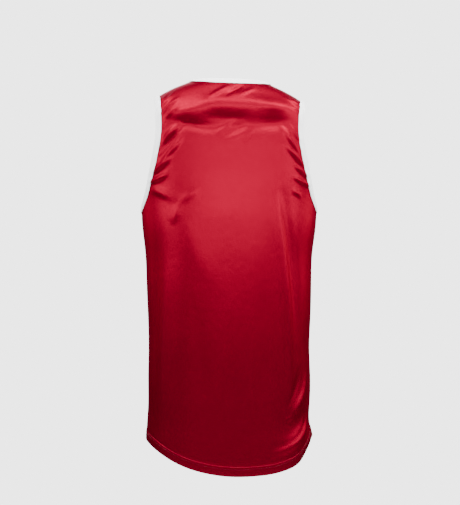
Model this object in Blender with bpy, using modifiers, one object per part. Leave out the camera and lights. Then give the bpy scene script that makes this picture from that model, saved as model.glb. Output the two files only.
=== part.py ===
"""A sleeveless boxing tank top, hollow and open as it is worn. Metres, +Z up.

The front faces -Y and the wearer's left is +X. The origin is midway between the two
shoulder straps, level with the top of the shoulders at the middle of each strap.

The garment is five sewn pieces: a front and a back panel of thin shiny knit, each turned up
at the hem, and a folded binding round the neck and round each armhole.
"""

import math
from collections import namedtuple

import bmesh
import bpy
import numpy as np

MM = 0.001

# ---- Driving sizes --------------------------------------------------------------------
PANEL_CLOTH = 1.2 * MM
BINDING_CLOTH = 1.0 * MM
SEAM_GAP = 0.3 * MM  # left between two pieces where they are sewn together
PANEL_STOP = 0.2 * MM  # how far a panel's middle stops short of a seam with the other
BINDING_WIDTH = 11 * MM
BINDING_NOSE = 1.6 * MM  # how far the folded binding stands past the edge that it covers
BINDING_TURN = 0.4 * MM  # how far past the edge it starts to turn
HEM_DEPTH = 19 * MM
HEM_SLOT = 0.4 * MM  # between the two layers of the turned-up hem

NECK_HALF_WIDTH = 67 * MM
NECK_POINT_Z = 14.5 * MM  # where the neck's edge crosses the top of the shoulders
ARMHOLE_TOP_Z = -24 * MM
ARMPIT_Z = -225.7 * MM

# The wearer's left shoulder is held this much above the middle, and the right one below it.
SHOULDER_LEAN = 5.5 * MM
LEAN_AT_X = 141 * MM
LEAN_STARTS_Z = -200 * MM
LEAN_FULL_Z = -30 * MM

# ---- The worn form, as level sections (millimetres) -------------------------------------
# half_width is from the middle to the side seam, or to the ridge of the shoulder higher up.
# back and front are how far each face stands from the plane of the side seams.
# squareness is the power of the section's rounded outline: 2 is an ellipse.
# sway is how far the sides are carried towards the wearer's left.
Level = namedtuple("Level", "z half_width back front squareness sway")
LEVELS = (
    Level(-745, 164.0, 121.0, 124, 2.45, 0.0),
    Level(-690, 160.5, 126.0, 125, 2.45, 0.5),
    Level(-660, 158.0, 128.0, 125, 2.45, 0.8),
    Level(-629, 153.4, 130.5, 126, 2.40, 3.4),
    Level(-600, 152.6, 133.0, 126, 2.40, 2.4),
    Level(-550, 153.4, 136.5, 127, 2.35, 1.5),
    Level(-490, 152.0, 140.0, 129, 2.35, 2.0),
    Level(-440, 153.4, 142.0, 131, 2.30, 1.5),
    Level(-370, 155.8, 143.0, 135, 2.25, 2.0),
    Level(-310, 158.2, 142.0, 139, 2.20, 2.2),
    Level(-260, 164.2, 139.0, 142, 2.15, 1.8),
    Level(-236, 165.6, 137.0, 143, 2.12, 1.8),
    Level(-210, 167.0, 133.6, 143, 2.10, 1.6),
    Level(-165, 176.5, 126.5, 138, 2.05, 1.2),
    Level(-125, 184.5, 117.5, 127, 2.00, 0.4),
    Level(-95, 185.0, 110.0, 114, 2.00, 0.0),
    Level(-75, 182.5, 104.6, 103, 2.00, 0.0),
    Level(-60, 178.0, 103.2, 94, 2.00, 0.0),
    Level(-45, 167.5, 101.5, 84, 2.00, 0.0),
    Level(-32, 154.0, 96.5, 74, 2.00, 0.0),
    Level(-20, 136.5, 89.0, 65, 2.00, 0.0),
    Level(-10, 120.0, 81.5, 58, 2.00, 0.0),
    Level(0, 100.0, 73.5, 51, 2.00, 0.0),
    Level(8, 81.3, 66.0, 45, 2.00, 0.0),
    Level(14.5, 67.0, 60.5, 41, 2.00, 0.0),
    Level(20, 55.5, 56.0, 37, 2.00, 0.0),
)

# ---- The armhole's edge (millimetres) ---------------------------------------------------
# back_x and front_x are the edge's distances from the middle, seen from behind and in front.
Armhole = namedtuple("Armhole", "z back_x front_x")
ARMHOLE = (
    Armhole(-209, 159.5, 153.5),
    Armhole(-182, 152.6, 138.5),
    Armhole(-155, 147.0, 128.0),
    Armhole(-122, 140.8, 122.0),
    Armhole(-105, 138.0, 121.5),
    Armhole(-87, 136.6, 123.5),
    Armhole(-60, 136.8, 129.5),
    Armhole(-40, 138.6, 135.5),
)

# ---- The back's hem edge (millimetres) --------------------------------------------------
# share is the part of the way from the centre line to a side seam.
Hem = namedtuple("Hem", "share right_z left_z")
HEM = (
    Hem(0.00, -720.4, -720.4),
    Hem(0.18, -720.0, -715.0),
    Hem(0.34, -716.4, -705.4),
    Hem(0.48, -709.0, -692.7),
    Hem(0.60, -696.9, -680.2),
    Hem(0.68, -682.9, -672.9),
    Hem(0.76, -670.7, -667.3),
    Hem(0.84, -662.2, -664.0),
    Hem(0.92, -658.0, -662.6),
    Hem(1.00, -656.5, -662.5),
)
FRONT_HEM_Z = -715 * MM  # on the centre line

# ---- The two faces ----------------------------------------------------------------------
# y_sign is +1 at the back. neck_z is the neck edge's height on the centre line. fan_z is
# where the row of the mesh that ends at the armpits crosses the centre line.
Face = namedtuple("Face", "name y_sign neck_z fan_z columns")
BACK = Face("back", 1, 12.6 * MM, -300 * MM, 18)
FRONT = Face("front", -1, -104 * MM, -300 * MM, 13)
FACES = (BACK, FRONT)

# ---- Large folds (millimetres) ----------------------------------------------------------
# Each runs from (x0, z0) to (x1, z1) as seen straight on, bowed sideways by bow at its
# middle. A positive height is a ridge and a negative one is a trough.
Fold = namedtuple("Fold", "face x0 z0 x1 z1 bow height width")
FOLDS = (
    Fold("back", -80, -172, -113, -600, -8, 5.0, 13),
    Fold("back", -95, -190, -124, -480, -6, -4.0, 14),
    Fold("back", -141, -540, -122, -622, -3, 3.5, 10),
    Fold("back", -146, -575, -70, -682, -28, 4.5, 10),
    Fold("back", -158, -618, -112, -700, -18, -4.0, 12),
    Fold("back", -3, 4, 40, -30, 0, 2.6, 9),
    Fold("back", -26, 4, 14, -28, 1, -2.6, 9),
    Fold("back", -27, -62, 18, -94, -4, -2.4, 9),
    Fold("back", 26, -36, 122, -62, -2, 4.5, 15),
    Fold("back", -34, -38, -120, -42, -1, 5.0, 15),
    Fold("back", 116, -68, 22, -86, 0, -3.0, 11),
    Fold("back", -116, -70, -36, -75, 2, -3.0, 11),
    Fold("back", 128, -250, 136, -560, 3, -2.5, 14),
    Fold("front", 74, -225, 100, -610, 6, 5.0, 15),
    Fold("front", 98, -240, 126, -520, 5, -4.0, 15),
    Fold("front", -86, -215, -66, -575, -7, 4.5, 15),
    Fold("front", -112, -260, -96, -600, -5, -3.5, 15),
    Fold("front", 146, -540, 66, -676, 20, 4.5, 13),
)
FOLD_SAMPLES = 24
FOLD_TAPER = 0.6  # power of the sine that fades a fold out at its two ends

# ---- How finely the pieces are faceted --------------------------------------------------
RING_SAMPLES = 121
SIDE_ROWS = 19
ARMHOLE_STATIONS = 20
SHOULDER_ROWS = 4
SETTLE_ROUNDS = 120
CHART_WIDTH = 250 * MM  # the breadth given to a half panel while its grid is spread


def spline(knots, values):
    """The natural cubic through the points, as a function of an array."""
    x = np.asarray(knots, float)
    y = np.asarray(values, float)
    gap = np.diff(x)
    slope = np.diff(y) / gap
    system = np.eye(len(x))
    wanted = np.zeros(len(x))
    for k in range(1, len(x) - 1):
        system[k, k - 1 : k + 2] = gap[k - 1], 2 * (gap[k - 1] + gap[k]), gap[k]
        wanted[k] = 6 * (slope[k] - slope[k - 1])
    bend = np.linalg.solve(system, wanted)

    def at(points):
        points = np.asarray(points, float)
        k = np.clip(np.searchsorted(x, points) - 1, 0, len(gap) - 1)
        right, left = points - x[k], x[k + 1] - points
        return (
            (bend[k] * left**3 + bend[k + 1] * right**3) / (6 * gap[k])
            + (y[k] / gap[k] - bend[k] * gap[k] / 6) * left
            + (y[k + 1] / gap[k] - bend[k + 1] * gap[k] / 6) * right
        )

    return at


def column(rows, name):
    """One named column of a millimetre table, in metres where it is a length."""
    values = np.array([getattr(row, name) for row in rows], float)
    return values if name == "squareness" else values * MM


half_width = spline(column(LEVELS, "z"), column(LEVELS, "half_width"))
sway = spline(column(LEVELS, "z"), column(LEVELS, "sway"))
squareness = spline(column(LEVELS, "z"), column(LEVELS, "squareness"))
depth = {
    "back": spline(column(LEVELS, "z"), column(LEVELS, "back")),
    "front": spline(column(LEVELS, "z"), column(LEVELS, "front")),
}


SEAM_HEIGHTS = np.linspace(-760, 20, 3121) * MM
SEAM_RUNS = np.concatenate(
    ([0], np.cumsum(np.hypot(np.diff(half_width(SEAM_HEIGHTS)), np.diff(SEAM_HEIGHTS))))
)


def seam_run(z):
    """The length of the side and shoulder seams up to the height z."""
    return np.interp(z, SEAM_HEIGHTS, SEAM_RUNS)


def seam_height(run):
    return np.interp(run, SEAM_RUNS, SEAM_HEIGHTS)


def armhole_spline(name):
    """The edge's x as a function of height, meeting the side seam and the shoulder seam."""
    z = np.concatenate(([ARMPIT_Z], column(ARMHOLE, "z"), [ARMHOLE_TOP_Z]))
    x = np.concatenate(
        ([half_width(ARMPIT_Z)], column(ARMHOLE, name), [half_width(ARMHOLE_TOP_Z)])
    )
    return spline(z, x)


armhole_x = {"back": armhole_spline("back_x"), "front": armhole_spline("front_x")}


def hem_table():
    """The back's hem heights as a function of f, from the right seam to the left."""
    share = np.array([row.share for row in HEM])
    right, left = column(HEM, "right_z"), column(HEM, "left_z")
    return spline(
        np.concatenate((-share[::-1], share[1:])),
        np.concatenate((right[::-1], left[1:])),
    )


back_hem = hem_table()


def smooth(t):
    t = np.clip(t, 0, 1)
    return t * t * (3 - 2 * t)


# ---- The surface: a place on it is (f, z) -------------------------------------------------
# f is the share of the way round the level section, from 0 on the centre line to 1 at the
# wearer's left side seam or shoulder seam, and to -1 at the right one.
ANGLES = np.linspace(0, math.pi / 2, RING_SAMPLES)


def ring(face, z):
    """Quarter sections at the heights z: x, y and length from the centre line, per angle."""
    power = 2 / squareness(z)[:, None]
    x = half_width(z)[:, None] * np.sin(ANGLES) ** power
    y = depth[face.name](z)[:, None] * np.clip(np.cos(ANGLES), 0, 1) ** power
    steps = np.hypot(np.diff(x, axis=1), np.diff(y, axis=1))
    length = np.concatenate((np.zeros((len(z), 1)), np.cumsum(steps, axis=1)), axis=1)
    return x, y, length


def share_at(face, x, z):
    """The f at which the section at each height z is x from the middle."""
    _, _, length = ring(face, z)
    reach = np.clip(np.abs(x) / half_width(z), 0, 1)
    angle = np.arcsin(reach ** (squareness(z) / 2))
    found = [np.interp(a, ANGLES, s) / s[-1] for a, s in zip(angle, length)]
    return np.array(found) * np.sign(x)


def plain_surface(face, f, z):
    """Points of the form without its folds."""
    x, y, length = ring(face, z)
    goal = np.abs(f) * length[:, -1]
    px = np.array([np.interp(g, s, row) for g, s, row in zip(goal, length, x)])
    py = np.array([np.interp(g, s, row) for g, s, row in zip(goal, length, y)])
    px = px * np.sign(f)
    px = px + sway(z) * (px / half_width(z)) ** 2
    lean = smooth((z - LEAN_STARTS_Z) / (LEAN_FULL_Z - LEAN_STARTS_Z))
    pz = z + SHOULDER_LEAN * lean * px / LEAN_AT_X
    return np.stack((px, face.y_sign * py, pz), axis=1)


def slopes(face, f, z):
    """How the form's points move with f and with z."""
    step_f, step_z = 1e-3, 2e-4
    inner = np.where(np.abs(f) + step_f > 1, f - np.sign(f) * step_f, f)
    by_f = (
        plain_surface(face, inner + step_f, z) - plain_surface(face, inner - step_f, z)
    ) / (2 * step_f)
    by_z = (plain_surface(face, f, z + step_z) - plain_surface(face, f, z - step_z)) / (
        2 * step_z
    )
    return by_f, by_z


def unit(vectors):
    return vectors / np.linalg.norm(vectors, axis=1, keepdims=True)


def outward(face, f, z):
    """Unit normals of the form, away from the wearer."""
    by_f, by_z = slopes(face, f, z)
    return unit(np.cross(by_z, by_f) * face.y_sign)


def arc(fold):
    """The path of a fold, as x and z, bowed sideways at its middle."""
    t = np.linspace(0, 1, FOLD_SAMPLES)
    reach_x, reach_z = fold.x1 - fold.x0, fold.z1 - fold.z0
    bow = 4 * fold.bow * t * (1 - t) / math.hypot(reach_x, reach_z)
    path_x = fold.x0 + reach_x * t + bow * abs(reach_z)
    path_z = fold.z0 + reach_z * t + bow * reach_x
    return path_x * MM, path_z * MM


def nearest_on_path(across, z, path_across, path_z):
    """The distance of each place from a path, and how far along the path that is."""
    step_a, step_z = np.diff(path_across), np.diff(path_z)
    from_a, from_z = across[:, None] - path_across[:-1], z[:, None] - path_z[:-1]
    share = (from_a * step_a + from_z * step_z) / (step_a**2 + step_z**2)
    share = np.clip(share, 0, 1)
    away = np.hypot(from_a - share * step_a, from_z - share * step_z)
    best = away.argmin(axis=1)
    row = np.arange(len(z))
    return away[row, best], (best + share[row, best]) / len(step_a)


def fold_height(face, f, z):
    """How far the folds lift the cloth off the form, in metres."""
    _, _, length = ring(face, z)
    across = f * length[:, -1]
    total = np.zeros(len(z))
    for fold in FOLDS:
        if fold.face != face.name:
            continue
        path_x, path_z = arc(fold)
        _, _, path_length = ring(face, path_z)
        path_across = share_at(face, path_x, path_z) * path_length[:, -1]
        away, along = nearest_on_path(across, z, path_across, path_z)
        fade = np.clip(np.sin(math.pi * along), 0, 1) ** FOLD_TAPER
        total += fold.height * MM * fade * np.exp(-((away / (fold.width * MM)) ** 2))
    return total * smooth((1 - np.abs(f)) / 0.12)


def surface(face, f, z, lift=0.0):
    """Points of the folded cloth's middle, raised by lift along the form's normal."""
    f, z = np.asarray(f, float), np.asarray(z, float)
    height = fold_height(face, f, z) + lift
    return plain_surface(face, f, z) + outward(face, f, z) * height[:, None]


# ---- Edges of a panel, as arrays of f and z on its left half --------------------------------
def evenly(face, f, z, count):
    """count places along the path through (f, z), the same distance apart on the form."""
    points = plain_surface(face, f, z)
    along = np.concatenate(
        ([0], np.cumsum(np.linalg.norm(np.diff(points, axis=0), axis=1)))
    )
    goal = np.linspace(0, along[-1], count)
    return np.interp(goal, along, f), np.interp(goal, along, z)


def armhole_edge(face):
    """From the armpit up to the shoulder seam."""
    share = (1 - np.cos(np.linspace(0, math.pi, 241))) / 2
    z = ARMPIT_Z + (ARMHOLE_TOP_Z - ARMPIT_Z) * share
    f = share_at(face, armhole_x[face.name](z), z)
    f[0] = f[-1] = 1
    return evenly(face, f, z, ARMHOLE_STATIONS + 1)


def neck_edge(face):
    """From the centre line out to the shoulder seam."""
    angle = np.linspace(0, math.pi / 2, 241)
    x = NECK_HALF_WIDTH * np.sin(angle)
    z = NECK_POINT_Z - (NECK_POINT_Z - face.neck_z) * np.cos(angle)
    f = share_at(face, x, z)
    f[0], f[-1] = 0, 1
    return evenly(face, f, z, face.columns + 1)


def inset(face, f, z, towards):
    """The places BINDING_WIDTH inside an edge. towards is -1 to the centre or 1 below."""
    new_f, new_z = f.copy(), z.copy()
    start = plain_surface(face, f, z)
    along = unit(np.gradient(start, axis=0))
    inward = unit(np.cross(outward(face, f, z), along)) * towards * face.y_sign
    for _ in range(3):
        by_f, by_z = slopes(face, new_f, new_z)
        moved = plain_surface(face, new_f, new_z) - start
        missing = inward * BINDING_WIDTH - moved
        for k in range(1, len(f) - 1):
            step = np.linalg.lstsq(
                np.stack((by_f[k], by_z[k]), axis=1), missing[k], rcond=None
            )[0]
            new_f[k] += step[0]
            new_z[k] += step[1]
    return np.clip(new_f, 0, 1), new_z


def along_seam(z, distance):
    """The height reached by going that far up the side or shoulder seam from height z."""
    return float(seam_height(seam_run(z) + distance))


def armhole_rail(face, edge):
    """The armhole edge moved in by the binding's width, its ends on the two seams."""
    f, z = inset(face, *edge, towards=-1)
    f[0] = f[-1] = 1
    z[0] = along_seam(ARMPIT_Z, -BINDING_WIDTH)
    z[-1] = along_seam(ARMHOLE_TOP_Z, BINDING_WIDTH)
    return f, z


def neck_rail(face, edge):
    """The neck edge moved down by the binding's width, its outer end on the seam."""
    f, z = inset(face, *edge, towards=1)
    f[0], f[-1] = 0, 1
    z[0] = edge[1][0] - rail_drop(face, edge[1][0])
    z[-1] = along_seam(NECK_POINT_Z, -BINDING_WIDTH)
    return f, z


def rail_drop(face, z):
    """How far down the centre line the binding's width reaches."""
    steep = (depth[face.name](z) - depth[face.name](z - BINDING_WIDTH)) / BINDING_WIDTH
    return BINDING_WIDTH / math.hypot(1, steep)


def hem_z(face, f):
    """The hem's height: lowest near the centre line, rising to the side seams."""
    f = np.asarray(f, float)
    if face.name == "back":
        return back_hem(f)
    seam_z = back_hem(np.where(f < 0, -1.0, 1.0))
    return seam_z + (FRONT_HEM_Z - seam_z) * np.cos(math.pi / 2 * f) ** 2


# ---- A panel's grid -----------------------------------------------------------------------
def blend(bottom, top, inner, outer):
    """A grid filled in from its four edges, as rows from bottom to top."""
    across = np.linspace(0, 1, len(bottom))[None, :, None]
    up = np.linspace(0, 1, len(inner))[:, None, None]
    grid = (1 - up) * bottom[None] + up * top[None]
    grid = grid + (1 - across) * inner[:, None] + across * outer[:, None]
    grid = grid - (1 - up) * ((1 - across) * bottom[0] + across * bottom[-1])
    return grid - up * ((1 - across) * top[0] + across * top[-1])


def settle(grid):
    """The grid with its inner points moved until its lines spread without crossing."""
    for _ in range(SETTLE_ROUNDS):
        up, down = grid[2:, 1:-1], grid[:-2, 1:-1]
        right, left = grid[1:-1, 2:], grid[1:-1, :-2]
        by_row, by_column = (up - down) / 2, (right - left) / 2
        corners = grid[2:, 2:] - grid[:-2, 2:] - grid[2:, :-2] + grid[:-2, :-2]
        along = np.sum(by_row**2, axis=2, keepdims=True)
        across = np.sum(by_column**2, axis=2, keepdims=True)
        lean = np.sum(by_row * by_column, axis=2, keepdims=True)
        moved = along * (right + left) + across * (up + down) - lean * corners / 2
        grid[1:-1, 1:-1] = moved / (2 * (along + across))
    return grid


def half_grid(face, side):
    """Rows of (f, z, lift) from above the hem to the neck's rail, from the centre outwards.

    side is 1 on the wearer's left and -1 on the right.
    """
    arm_f, arm_z = armhole_rail(face, armhole_edge(face))
    neck_f, neck_z = neck_rail(face, neck_edge(face))
    share = np.linspace(0, 1, face.columns + 1)

    hem_edge = hem_z(face, side * share) + HEM_DEPTH
    chest = face.fan_z + (arm_z[0] - face.fan_z) * share**2.5
    up = np.linspace(0, 1, SIDE_ROWS + 1)[:-1, None]
    lower_z = hem_edge + (chest - hem_edge) * up
    rows = [(side * share, z, np.zeros(len(z))) for z in lower_z]

    shoulder_z = np.linspace(arm_z[-1], neck_z[-1], SHOULDER_ROWS + 1)[1:]
    outer_f = np.concatenate((arm_f, np.ones(SHOULDER_ROWS)))
    outer_z = np.concatenate((arm_z, shoulder_z))
    inner_z = np.linspace(face.fan_z, neck_z[0], len(outer_z))
    inner_f = np.zeros(len(outer_z))
    edges = ((share, chest), (neck_f, neck_z), (inner_f, inner_z), (outer_f, outer_z))
    flat = [np.stack((f * CHART_WIDTH, seam_run(z)), axis=1) for f, z in edges]
    grid = settle(blend(*flat))
    grid_f, grid_z = grid[..., 0] / CHART_WIDTH, seam_height(grid[..., 1])
    return rows + [(side * f, z, np.zeros(len(f))) for f, z in zip(grid_f, grid_z)]


def hem_rows(face, side):
    """The turned-up hem, from its inner top edge round the fold to the outer layer."""
    f = side * np.linspace(0, 1, face.columns + 1)
    edge = hem_z(face, f)
    inner = -(PANEL_CLOTH + HEM_SLOT)
    corner = 1.0 * MM
    shape = (
        (HEM_DEPTH, inner),
        (corner, inner),
        (0.0, inner / 2),
        (corner, 0.0),
    )
    return [(f, edge + rise, np.full(len(f), lift)) for rise, lift in shape]


def panel_rows(face):
    """Whole rows of (f, z, lift), from the wearer's right to the left, hem first."""
    halves = [hem_rows(face, side) + half_grid(face, side) for side in (-1, 1)]
    rows = []
    for right, left in zip(*halves):
        rows.append([np.concatenate((r[::-1], l[1:])) for r, l in zip(right, left)])
    return rows


def inside_seams(face, f, z):
    """f drawn in so that each panel stops just short of its seam with the other."""
    _, _, length = ring(face, np.asarray(z, float))
    return f * (1 - PANEL_STOP / length[:, -1])


# ---- Building meshes ------------------------------------------------------------------------
def material(name, colour, roughness):
    made = bpy.data.materials.new(name)
    made.use_nodes = True
    shader = made.node_tree.nodes["Principled BSDF"]
    shader.inputs["Base Color"].default_value = (*colour, 1)
    shader.inputs["Roughness"].default_value = roughness
    made.diffuse_color = (*colour, 1)
    return made


def add_strip(mesh, rows):
    """Triangles between neighbouring rows of points, every quad split the same way."""
    made = [[mesh.verts.new(point) for point in row] for row in rows]
    for low, high in zip(made, made[1:]):
        for k in range(len(low) - 1):
            mesh.faces.new((low[k], low[k + 1], high[k + 1]))
            mesh.faces.new((low[k], high[k + 1], high[k]))


def sewn_piece(name, strips, thickness, finish):
    """A piece of cloth: open strips welded where they share an edge, given a wall."""
    mesh = bmesh.new()
    for rows in strips:
        add_strip(mesh, rows)
    bmesh.ops.remove_doubles(mesh, verts=mesh.verts, dist=0.05 * MM)
    bmesh.ops.recalc_face_normals(mesh, faces=mesh.faces)
    data = bpy.data.meshes.new(name)
    mesh.to_mesh(data)
    mesh.free()
    data.shade_smooth()
    piece = bpy.data.objects.new(name, data)
    garment.objects.link(piece)
    piece.data.materials.append(finish)
    wall = piece.modifiers.new("wall", "SOLIDIFY")
    wall.thickness = thickness
    wall.offset = 0
    wall.use_even_offset = True
    return piece


def on_side(path, side):
    """A left half path, or its place on the right half."""
    return side * path[0], path[1]


def whole(path):
    """A left half path from the centre, made to run from its right end to its left end."""
    f, z = path
    return np.concatenate((-f[::-1], f[1:])), np.concatenate((z[::-1], z[1:]))


def panel_edges(face):
    """The bound edges of a panel, each as its rail inside the panel and its own path."""
    armhole, neck = armhole_edge(face), neck_edge(face)
    rail = armhole_rail(face, armhole)
    return {
        "right": (on_side(rail, -1), on_side(armhole, -1)),
        "left": (on_side(rail, 1), on_side(armhole, 1)),
        "neck": (whole(neck_rail(face, neck)), whole(neck)),
    }


def build_panel(face, finish):
    strips = [
        [surface(face, inside_seams(face, f, z), z, lift) for f, z, lift in panel_rows(face)]
    ]
    for rail_and_edge in panel_edges(face).values():
        band = [surface(face, inside_seams(face, f, z), z) for f, z in rail_and_edge]
        strips.append(band)
    sewn_piece(f"{face.name}_panel", strips, PANEL_CLOTH, finish)


def folded_profile(face, rail, edge):
    """Five rows along an edge: the binding's outer hem and turn, nose, inner turn and hem."""
    at_rail, at_edge = surface(face, *rail), surface(face, *edge)
    up_rail, up_edge = outward(face, *rail), outward(face, *edge)
    out = unit(at_edge - at_rail)
    leg = PANEL_CLOTH / 2 + SEAM_GAP + BINDING_CLOTH / 2
    turn = at_edge + out * BINDING_TURN
    return [
        at_rail + up_rail * leg,
        turn + up_edge * leg,
        at_edge + out * BINDING_NOSE,
        turn - up_edge * leg,
        at_rail - up_rail * leg,
    ]


def build_binding(name, place, finish):
    """A strip folded over the same edge of both panels, joined where they meet."""
    back, front = (folded_profile(face, *panel_edges(face)[place]) for face in FACES)
    strips = []
    for row, other in zip(back, front):
        for end in (0, -1):
            row[end] = other[end] = (row[end] + other[end]) / 2
    for outer_hem, outer_turn, nose, inner_turn, inner_hem in (back, front):
        strips.extend([[outer_hem, outer_turn], [outer_turn, nose]])
        strips.extend([[inner_hem, inner_turn], [inner_turn, nose]])
    sewn_piece(name, strips, BINDING_CLOTH, finish)


for leftover in list(bpy.data.objects):
    bpy.data.objects.remove(leftover, do_unlink=True)
garment = bpy.data.collections.new("boxing_tank_top")
bpy.context.scene.collection.children.link(garment)

red_knit = material("red_shiny_knit", (0.50, 0.006, 0.022), 0.42)
white_rib = material("white_binding", (0.82, 0.82, 0.83), 0.65)

for panel_face in FACES:
    build_panel(panel_face, red_knit)
build_binding("neck_binding", "neck", white_rib)
build_binding("armhole_binding_left", "left", white_rib)
build_binding("armhole_binding_right", "right", white_rib)
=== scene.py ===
"""The boxing tank top as it looks: shiny red knit with white bindings, on a plain pale stage.

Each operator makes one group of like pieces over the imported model. The form's tables and
functions are those of the part's own source, drawn finer and with every small crease.
"""

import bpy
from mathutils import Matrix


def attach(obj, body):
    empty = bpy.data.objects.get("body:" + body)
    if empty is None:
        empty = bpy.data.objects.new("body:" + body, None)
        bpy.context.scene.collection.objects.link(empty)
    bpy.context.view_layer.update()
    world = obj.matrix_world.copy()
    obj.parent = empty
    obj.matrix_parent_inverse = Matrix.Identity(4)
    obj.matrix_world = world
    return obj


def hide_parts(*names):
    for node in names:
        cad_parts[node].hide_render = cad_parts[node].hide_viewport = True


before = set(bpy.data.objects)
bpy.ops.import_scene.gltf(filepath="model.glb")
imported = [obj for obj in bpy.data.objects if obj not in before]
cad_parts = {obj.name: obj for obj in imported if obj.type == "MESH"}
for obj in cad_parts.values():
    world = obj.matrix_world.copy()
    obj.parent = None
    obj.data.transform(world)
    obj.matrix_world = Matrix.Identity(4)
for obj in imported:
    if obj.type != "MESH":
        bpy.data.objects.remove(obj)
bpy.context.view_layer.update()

import math
from collections import namedtuple

import bpy
import numpy as np
from bpy.props import FloatProperty, FloatVectorProperty, PointerProperty
from mathutils import Vector

bl_info = {
    "name": "Boxing tank top",
    "version": (1, 0, 0),
    "blender": (4, 5, 0),
    "location": "View3D > Sidebar > Tank Top",
    "description": "Builds the cloth, bindings, stitches and studio of a boxing tank top",
    "category": "Object",
}

MM = 0.001


def table(kind, *rows):
    """Rows of plain values, each as a named tuple of one kind."""
    return tuple(kind(*row) for row in rows)


def darker(colour, share):
    return tuple(c * share for c in colour)


# ---- The cut, as in the part's source ----
BINDING_WIDTH = 11 * MM
BINDING_NOSE = 1.6 * MM  # how far the folded binding stands past the edge that it covers
HEM_DEPTH = 19 * MM
NECK_HALF_WIDTH = 67 * MM
NECK_POINT_Z = 14.5 * MM  # where the neck's edge crosses the top of the shoulders
ARMHOLE_TOP_Z = -24 * MM
ARMPIT_Z = -225.7 * MM
FRONT_HEM_Z = -715 * MM
SHOULDER_LEAN = 5.5 * MM
LEAN_AT_X = 141 * MM
LEAN_STARTS_Z = -200 * MM
LEAN_FULL_Z = -30 * MM

# Level sections, in millimetres; squareness is the power of the outline.
Level = namedtuple("Level", "z half_width back front squareness sway")
LEVELS = table(
    Level,
    (-745, 164.0, 121.0, 124, 2.45, 0.0),
    (-690, 160.5, 126.0, 125, 2.45, 0.5),
    (-660, 158.0, 128.0, 125, 2.45, 0.8),
    (-629, 153.4, 130.5, 126, 2.40, 3.4),
    (-600, 152.6, 133.0, 126, 2.40, 2.4),
    (-550, 153.4, 136.5, 127, 2.35, 1.5),
    (-490, 152.0, 140.0, 129, 2.35, 2.0),
    (-440, 153.4, 142.0, 131, 2.30, 1.5),
    (-370, 155.8, 143.0, 135, 2.25, 2.0),
    (-310, 158.2, 142.0, 139, 2.20, 2.2),
    (-260, 164.2, 139.0, 142, 2.15, 1.8),
    (-236, 165.6, 137.0, 143, 2.12, 1.8),
    (-210, 167.0, 133.6, 143, 2.10, 1.6),
    (-165, 176.5, 126.5, 138, 2.05, 1.2),
    (-125, 184.5, 117.5, 127, 2.00, 0.4),
    (-95, 185.0, 110.0, 114, 2.00, 0.0),
    (-75, 182.5, 104.6, 103, 2.00, 0.0),
    (-60, 178.0, 103.2, 94, 2.00, 0.0),
    (-45, 167.5, 101.5, 84, 2.00, 0.0),
    (-32, 154.0, 96.5, 74, 2.00, 0.0),
    (-20, 136.5, 89.0, 65, 2.00, 0.0),
    (-10, 120.0, 81.5, 58, 2.00, 0.0),
    (0, 100.0, 73.5, 51, 2.00, 0.0),
    (8, 81.3, 66.0, 45, 2.00, 0.0),
    (14.5, 67.0, 60.5, 41, 2.00, 0.0),
    (20, 55.5, 56.0, 37, 2.00, 0.0),
)

# The armhole's edge: its distance from the middle, seen from behind and from the front.
Armhole = namedtuple("Armhole", "z back_x front_x")
ARMHOLE = table(
    Armhole,
    (-209, 159.5, 153.5),
    (-182, 152.6, 138.5),
    (-155, 147.0, 128.0),
    (-122, 140.8, 122.0),
    (-105, 138.0, 121.5),
    (-87, 136.6, 123.5),
    (-60, 136.8, 129.5),
    (-40, 138.6, 135.5),
)

# The back's hem edge, by the share of the way from the centre line to a side seam.
Hem = namedtuple("Hem", "share right_z left_z")
HEM = table(
    Hem,
    (0.00, -720.4, -720.4),
    (0.18, -720.0, -715.0),
    (0.34, -716.4, -705.4),
    (0.48, -709.0, -692.7),
    (0.60, -696.9, -680.2),
    (0.68, -682.9, -672.9),
    (0.76, -670.7, -667.3),
    (0.84, -662.2, -664.0),
    (0.92, -658.0, -662.6),
    (1.00, -656.5, -662.5),
)

Face = namedtuple("Face", "name y_sign neck_z fan_z columns finer_columns")
BACK = Face("back", 1, 12.6 * MM, -300 * MM, 18, 5)
FRONT = Face("front", -1, -104 * MM, -300 * MM, 13, 5)
FACES = (BACK, FRONT)

# ---- Folds and creases, in millimetres ----
# Each runs from (x0, z0) to (x1, z1) seen straight on, bowed by bow. A positive height is
# a ridge and a negative one a trough. peak is how far along it stands highest.
Crease = namedtuple("Crease", "x0 z0 x1 z1 bow height width peak")
# The large folds are near those of the part's source, and fade out towards the seams.
BACK_FOLDS = table(
    Crease,
    (-80, -172, -113, -600, -8, 5.0, 10, 0.50),
    (-95, -190, -124, -480, -6, -4.0, 12, 0.40),
    (-146, -575, -70, -682, -28, 3.5, 10, 0.50),
    (-142, -528, -108, -619, -9, 4.5, 7, 0.58),
    (-157, -618, -112, -700, -18, -3.5, 11, 0.50),
    (128, -250, 136, -560, 3, -2.5, 14, 0.50),
    (4, -31, 132, -66, -3, 3.9, 15, 0.52),
    (-8, -33, -132, -42, -3, 4.6, 15, 0.52),
    (128, -66, 10, -88, 0, -3.2, 10, 0.50),
    (-128, -70, -20, -78, 2, -3.2, 10, 0.50),
)
FRONT_FOLDS = table(
    Crease,
    (74, -225, 100, -610, 6, 5.0, 15, 0.50),
    (98, -240, 126, -520, 5, -4.0, 15, 0.50),
    (-86, -215, -66, -575, -7, 4.5, 15, 0.50),
    (-112, -260, -96, -600, -5, -3.5, 15, 0.50),
    (146, -540, 66, -676, 20, 4.5, 13, 0.50),
)
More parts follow.
